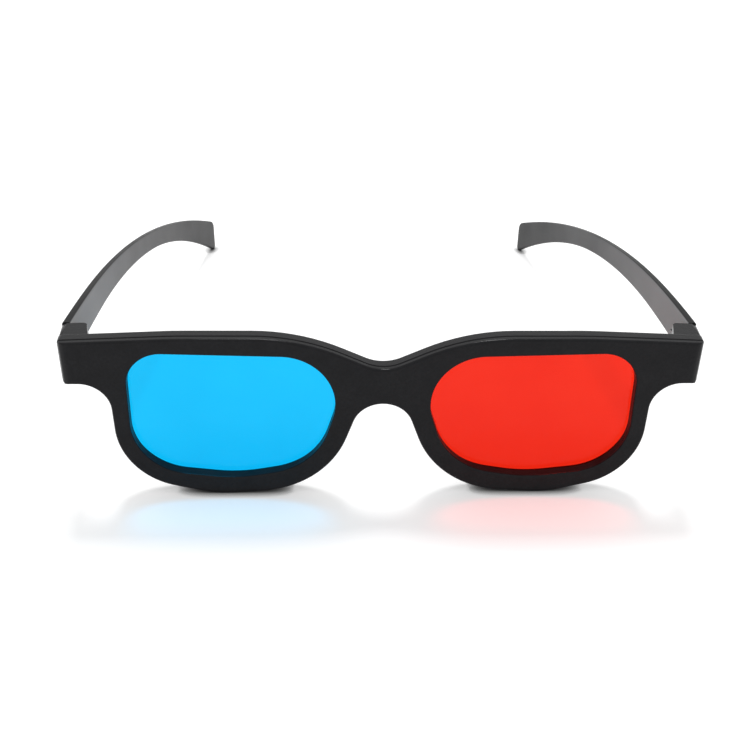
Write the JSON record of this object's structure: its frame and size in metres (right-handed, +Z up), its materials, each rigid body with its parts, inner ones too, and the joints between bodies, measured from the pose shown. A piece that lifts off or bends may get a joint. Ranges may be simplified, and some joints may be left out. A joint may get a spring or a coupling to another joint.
{
  "type": "anaglyph glasses",
  "caption": "Black plastic viewing glasses with a cyan and a red filter clamped in a two-shell front, and slim bowed temples that fold on vertical pins.",
  "frame": {"origin": "on the table under the middle of the glasses, halfway from the front face to the temple tips", "axes": "+X to the wearer's left, +Y from the front towards the temple tips, +Z up"},
  "size_m": [0.1484, 0.1518, 0.0427],
  "materials": {
    "shell": "satin black moulded plastic",
    "temple": "matte black moulded plastic",
    "cyan_sheet": "clear cyan sheet, smooth",
    "red_sheet": "clear red sheet, smooth",
    "pin": "plain drawn wire"
  },
  "bodies": {
    "front": {"front_cover": "shell", "rear_frame": "shell", "cyan_filter": "cyan_sheet", "red_filter": "red_sheet", "right_hinge_pin": "pin", "left_hinge_pin": "pin"},
    "right_arm": {"right_temple": "temple"},
    "left_arm": {"left_temple": "temple"}
  },
  "joints": [
    {"name": "left_fold", "type": "hinge", "parent": "front", "child": "left_arm", "pos_m": [0.0708, -0.06756, 0.0358], "axis": [0, 0, 1], "range_deg": [0, 83]},
    {"name": "right_fold", "type": "hinge", "parent": "front", "child": "right_arm", "pos_m": [-0.0708, -0.06756, 0.0358], "axis": [0, 0, -1], "range_deg": [0, 79]}
  ]
}
